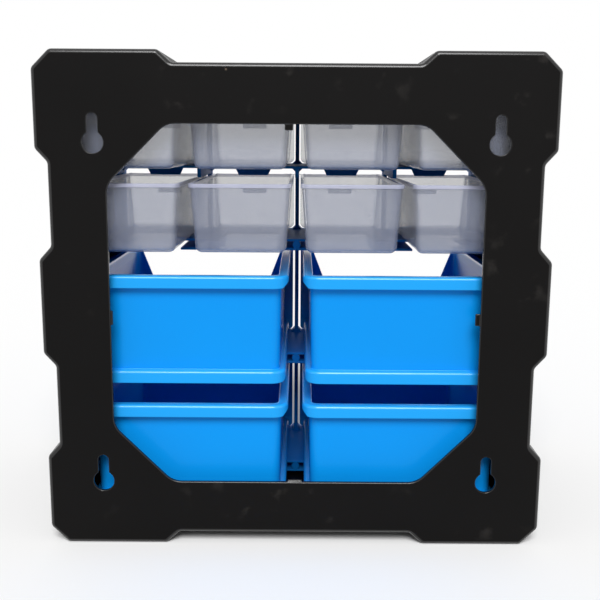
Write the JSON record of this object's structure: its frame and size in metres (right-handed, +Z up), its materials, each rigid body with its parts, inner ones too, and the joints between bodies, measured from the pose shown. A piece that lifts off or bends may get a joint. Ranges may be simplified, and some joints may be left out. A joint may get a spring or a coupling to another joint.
{
  "type": "parts cabinet",
  "caption": "Small moulded parts cabinet with clear drawers above deep scooped bins, a black notched case, an octagonal window in its back and keyholes for a wall.",
  "frame": {"origin": "on the floor, under the middle of the cabinet's overall box", "axes": "+Z up, -Y out of the front where the drawers open, +Y out of the back with the window"},
  "size_m": [0.315, 0.175, 0.311],
  "materials": {
    "case_black": "black moulded plastic with a fine matte grain",
    "frame_blue": "blue moulded plastic, satin",
    "bin_blue": "blue moulded plastic, glossy",
    "drawer_clear": "clear moulded plastic with a faint lilac tint"
  },
  "bodies": {
    "cabinet": {"bin_bar": "frame_blue", "bottom_sill": "frame_blue", "center_post": "frame_blue", "center_runner_1": "frame_blue", "center_runner_2": "frame_blue", "center_runner_3": "frame_blue", "center_runner_4": "frame_blue", "drawer_bar": "frame_blue", "front_bezel": "frame_blue", "left_column_post": "frame_blue", "left_column_runner_1": "frame_blue", "left_column_runner_2": "frame_blue", "left_post": "frame_blue", "left_side_runner_1": "frame_blue", "left_side_runner_2": "frame_blue", "left_side_runner_3": "frame_blue", "left_side_runner_4": "frame_blue", "middle_bar": "frame_blue", "outer_case": "case_black", "right_column_post": "frame_blue", "right_column_runner_1": "frame_blue", "right_column_runner_2": "frame_blue", "right_post": "frame_blue", "right_side_runner_1": "frame_blue", "right_side_runner_2": "frame_blue", "right_side_runner_3": "frame_blue", "right_side_runner_4": "frame_blue", "top_bar": "frame_blue"},
    "drawer_1_1_body": {"clear_drawer_1_1": "drawer_clear"},
    "drawer_1_2_body": {"clear_drawer_1_2": "drawer_clear"},
    "drawer_1_3_body": {"clear_drawer_1_3": "drawer_clear"},
    "drawer_1_4_body": {"clear_drawer_1_4": "drawer_clear"},
    "drawer_2_1_body": {"clear_drawer_2_1": "drawer_clear"},
    "drawer_2_2_body": {"clear_drawer_2_2": "drawer_clear"},
    "drawer_2_3_body": {"clear_drawer_2_3": "drawer_clear"},
    "drawer_2_4_body": {"clear_drawer_2_4": "drawer_clear"},
    "bin_3_1_body": {"blue_bin_3_1": "bin_blue"},
    "bin_3_2_body": {"blue_bin_3_2": "bin_blue"},
    "bin_4_1_body": {"blue_bin_4_1": "bin_blue"},
    "bin_4_2_body": {"blue_bin_4_2": "bin_blue"}
  },
  "joints": [
    {"name": "drawer_1_1_slide", "type": "slide", "parent": "cabinet", "child": "drawer_1_1_body", "axis": [0, -1, 0], "range_m": [0, 0.1415]},
    {"name": "drawer_1_2_slide", "type": "slide", "parent": "cabinet", "child": "drawer_1_2_body", "axis": [0, -1, 0], "range_m": [0, 0.1415]},
    {"name": "drawer_1_3_slide", "type": "slide", "parent": "cabinet", "child": "drawer_1_3_body", "axis": [0, -1, 0], "range_m": [0, 0.1415]},
    {"name": "drawer_1_4_slide", "type": "slide", "parent": "cabinet", "child": "drawer_1_4_body", "axis": [0, -1, 0], "range_m": [0, 0.1415]},
    {"name": "drawer_2_1_slide", "type": "slide", "parent": "cabinet", "child": "drawer_2_1_body", "axis": [0, -1, 0], "range_m": [0, 0.1415]},
    {"name": "drawer_2_2_slide", "type": "slide", "parent": "cabinet", "child": "drawer_2_2_body", "axis": [0, -1, 0], "range_m": [0, 0.1415]},
    {"name": "drawer_2_3_slide", "type": "slide", "parent": "cabinet", "child": "drawer_2_3_body", "axis": [0, -1, 0], "range_m": [0, 0.1415]},
    {"name": "drawer_2_4_slide", "type": "slide", "parent": "cabinet", "child": "drawer_2_4_body", "axis": [0, -1, 0], "range_m": [0, 0.1415]},
    {"name": "bin_3_1_slide", "type": "slide", "parent": "cabinet", "child": "bin_3_1_body", "axis": [0, -1, 0], "range_m": [0, 0.1375]},
    {"name": "bin_3_2_slide", "type": "slide", "parent": "cabinet", "child": "bin_3_2_body", "axis": [0, -1, 0], "range_m": [0, 0.1375]},
    {"name": "bin_4_1_slide", "type": "slide", "parent": "cabinet", "child": "bin_4_1_body", "axis": [0, -1, 0], "range_m": [0, 0.1375]},
    {"name": "bin_4_2_slide", "type": "slide", "parent": "cabinet", "child": "bin_4_2_body", "axis": [0, -1, 0], "range_m": [0, 0.1375]}
  ]
}
